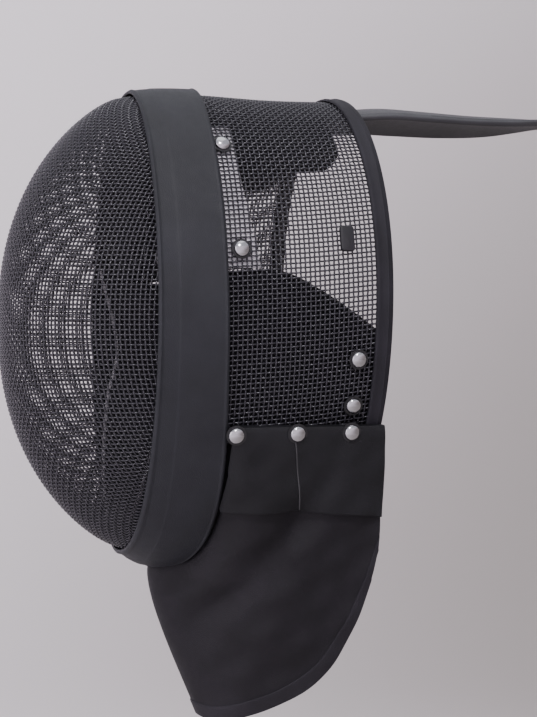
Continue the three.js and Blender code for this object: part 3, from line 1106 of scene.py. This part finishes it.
def lathe(name, profile, sides, axes, material):
    rear, upright, outward, centre = axes
    turn = 2 * np.pi * np.arange(sides) / sides
    rings = []
    for radius, height in profile:
        ring = np.cos(turn)[:, None] * rear + np.sin(turn)[:, None] * upright
        rings.append(centre + outward * height + radius * ring)
    points = np.array(rings).reshape(-1, 3)
    faces = gridFaces(len(profile), sides, wrapColumns=True).tolist()
    faces.append(list(range(sides - 1, -1, -1)))
    start = (len(profile) - 1) * sides
    faces.append(list(range(start, start + sides)))
    return makePiece(name, points, faces, material)


def steelFinish(tree):
    tone = noise(tree, 400, 3)
    return {
        "Roughness": rivet["roughness"] - 0.06 + tone * 0.14,
        "Normal": bump(noise(tree, 260, 3), 0.08, 0.0005),
    }


def plasticFinish(tree):
    grain = noise(tree, 1500, 2)
    return {
        "Roughness": clip["roughness"] - 0.05 + noise(tree, 200, 2) * 0.1,
        "Normal": bump(grain, 0.15, 0.0002),
    }


def buildRivets():
    material = makeMaterial("rivetSteel", rivet, steelFinish)
    dark = {"colour": rivet["shadowRingColour"], "roughness": 0.6}
    shadowRingMaterial = makeMaterial("rivetPaintedShadowRing", dark, plasticFinish)
    radius, skirt, height = rivet["radius"], rivet["skirt"], rivet["height"]
    profile = [(radius - 0.35, 0.05), (radius, 0.35)]
    for climb in np.linspace(0, math.pi / 2 - 0.06, 12):
        profile.append((radius * math.cos(climb), skirt + (height - skirt) * math.sin(climb)))
    # A dark ring round the foot of each rivet head: painted contact shadow.
    shadowRing = [(rivet["shadowRing"], -0.35), (rivet["shadowRing"], 0.25), (radius - 0.4, 0.3)]
    for sideName, side in (("left", 1), ("right", -1)):
        for name, (y, level, face) in rivetPlaces.items():
            if face == "mesh":
                axes = seatOn(meshPlace(side, y, level), 0.6)
            else:
                axes = seatOn(collarPlace(side, y, level), bibCollar["outer"] + 0.6)
            head = lathe(f"rivet_head_{name}_{sideName}", profile, rivet["sides"], axes, material)
            finishPiece(head, "rivet_steel", f"rivet_{name}_{sideName}")
            ring = lathe(f"rivet_washer_{name}_{sideName}", shadowRing, rivet["sides"], axes, shadowRingMaterial)
            finishPiece(ring, "clip_plastic")
    print("rivets built")


def buildClips():
    material = makeMaterial("clipPlastic", clip, plasticFinish)
    for sideName, side in (("left", 1), ("right", -1)):
        axes = seatOn(meshPlace(side, clip["y"], clip["level"]), 0.6)
        rear, upright, outward, centre = axes
        halfWide, halfHigh, corner = clip["width"] / 2, clip["height"] / 2, clip["corner"]
        rings = []
        for shrink, height in ((0.3, 0), (0, 0.3), (0, clip["depth"] - 0.6), (0.25, clip["depth"] - 0.15), (0.7, clip["depth"])):
            ring = []
            for k in range(4):
                cx = (halfWide - corner) * (1 if k in (0, 3) else -1)
                cz = (halfHigh - corner) * (1 if k in (0, 1) else -1)
                for step in np.linspace(0, math.pi / 2, 7):
                    turn = k * math.pi / 2 + step
                    reach = corner - shrink
                    ring.append(
                        centre + rear * (cx + reach * math.cos(turn))
                        + upright * (cz + reach * math.sin(turn)) + outward * height
                    )
            rings.append(ring)
        rings = np.array(rings)
        count = rings.shape[1]
        faces = gridFaces(len(rings), count, wrapColumns=True).tolist()
        faces.append(list(range(count - 1, -1, -1)))
        faces.append(list(range((len(rings) - 1) * count, len(rings) * count)))
        piece = makePiece(f"strap_clip_block_{sideName}", rings.reshape(-1, 3), faces, material)
        finishPiece(piece, "clip_plastic", f"strap_clip_{sideName}")
    print("clips built")


# ---------------------------------------------------------------- stage, light and camera

stageLooks = {
    "floor": -0.95,
    "flatRadius": 2.6,
    "wallRadius": 4.2,
    "wallHeight": 3.4,
    "bright": (0.87, 0.815, 0.865),
    "paintedShade": (0.27, 0.247, 0.238),
    "glow": 0.56,
    "world": (0.93, 0.93, 1.0),
    "worldStrength": 0.75,
}


def buildStage():
    rings = [(0.001, 0.0), (1.3, 0.0), (stageLooks["flatRadius"], 0.0)]
    bendRadius = stageLooks["wallRadius"] - stageLooks["flatRadius"]
    for climb in np.linspace(0.1, math.pi / 2, 14):
        rings.append(
            (stageLooks["flatRadius"] + bendRadius * math.sin(climb), bendRadius * (1 - math.cos(climb)))
        )
    rings.append((stageLooks["wallRadius"], stageLooks["wallHeight"]))
    turn = 2 * np.pi * np.arange(96) / 96
    points = []
    for radius, height in rings:
        for t in turn:
            points.append((radius * math.cos(t), radius * math.sin(t), stageLooks["floor"] + height))
    faces = gridFaces(len(rings), len(turn), wrapColumns=True).tolist()

    def build(tree):
        x, y, z = axesOf(tree, objectPlace(tree))
        # The stage glows with its own colour, which runs from the bright tone to a darker one towards the right,
        # towards the bottom and near the middle under the mask: painted shadow of the mask on the wall and floor, and a
        # painted glow that stands in for light on the stage.
        middle = 1 - smoothRange(x * x + y * y, 0.8, 5.0)
        share = 0.45 * (y - 0.4) / 1.8 + 0.45 * (1.0 - z) / 1.9 + 0.34 * middle
        tone = colourMix(smoothRange(share, -0.1, 0.95), stageLooks["bright"], stageLooks["paintedShade"])
        return {"Base Color": tone, "Emission Color": tone}

    looks = {"colour": stageLooks["bright"], "roughness": 0.9, "specular": 0.1, "glow": stageLooks["glow"]}
    material = makeMaterial("stagePaintedShadeFloor", looks, build)
    floor = makePiece("stage_floor", np.array(points) / millimetre, faces, material, sharpAngle=0)


def addLight(name, place, target, size, power, colour=(1, 1, 1)):
    light = bpy.data.lights.new(name, "AREA")
    light.shape = "RECTANGLE"
    light.size, light.size_y = size
    light.energy = power
    light.color = colour
    holder = bpy.data.objects.new(name, light)
    holder.location = place
    holder.rotation_euler = (Vector(target) - Vector(place)).to_track_quat("-Z", "Y").to_euler()
    bpy.context.scene.collection.objects.link(holder)


def buildLights():
    world = bpy.data.worlds.new("softSky")
    world.use_nodes = True
    background = world.node_tree.nodes["Background"]
    background.inputs["Color"].default_value = (*stageLooks["world"], 1)
    background.inputs["Strength"].default_value = stageLooks["worldStrength"]
    bpy.context.scene.world = world
    centre = (0, -0.02, -0.15)
    addLight("key", (1.35, -0.55, 1.35), centre, (0.3, 0.3), 24, (1, 0.98, 1))
    addLight("top", (-0.2, 0.1, 1.8), centre, (1.6, 1.6), 9)
    addLight("frontFill", (0.4, -2.0, 0.2), centre, (1.2, 1.2), 6)


def buildCamera():
    camera = bpy.data.cameras.new("camera")
    camera.lens = 74.9
    camera.sensor_width = 36
    camera.clip_start = 0.05
    camera.clip_end = 50
    holder = bpy.data.objects.new("camera", camera)
    holder.location = (0.9455, -0.3256, -0.152)
    turn = math.radians(19)
    holder.rotation_mode = "QUATERNION"
    looking = Vector((-math.cos(turn), math.sin(turn), 0))
    holder.rotation_quaternion = looking.to_track_quat("-Z", "Y")
    bpy.context.scene.collection.objects.link(holder)
    bpy.context.scene.camera = holder


buildWireMeshes()
buildBand()
buildBinding()
buildCollars()
buildBib()
buildTongue()
buildPads()
buildStraps()
buildRivets()
buildClips()
buildStage()
buildLights()
buildCamera()
print("stage, lights and camera built")
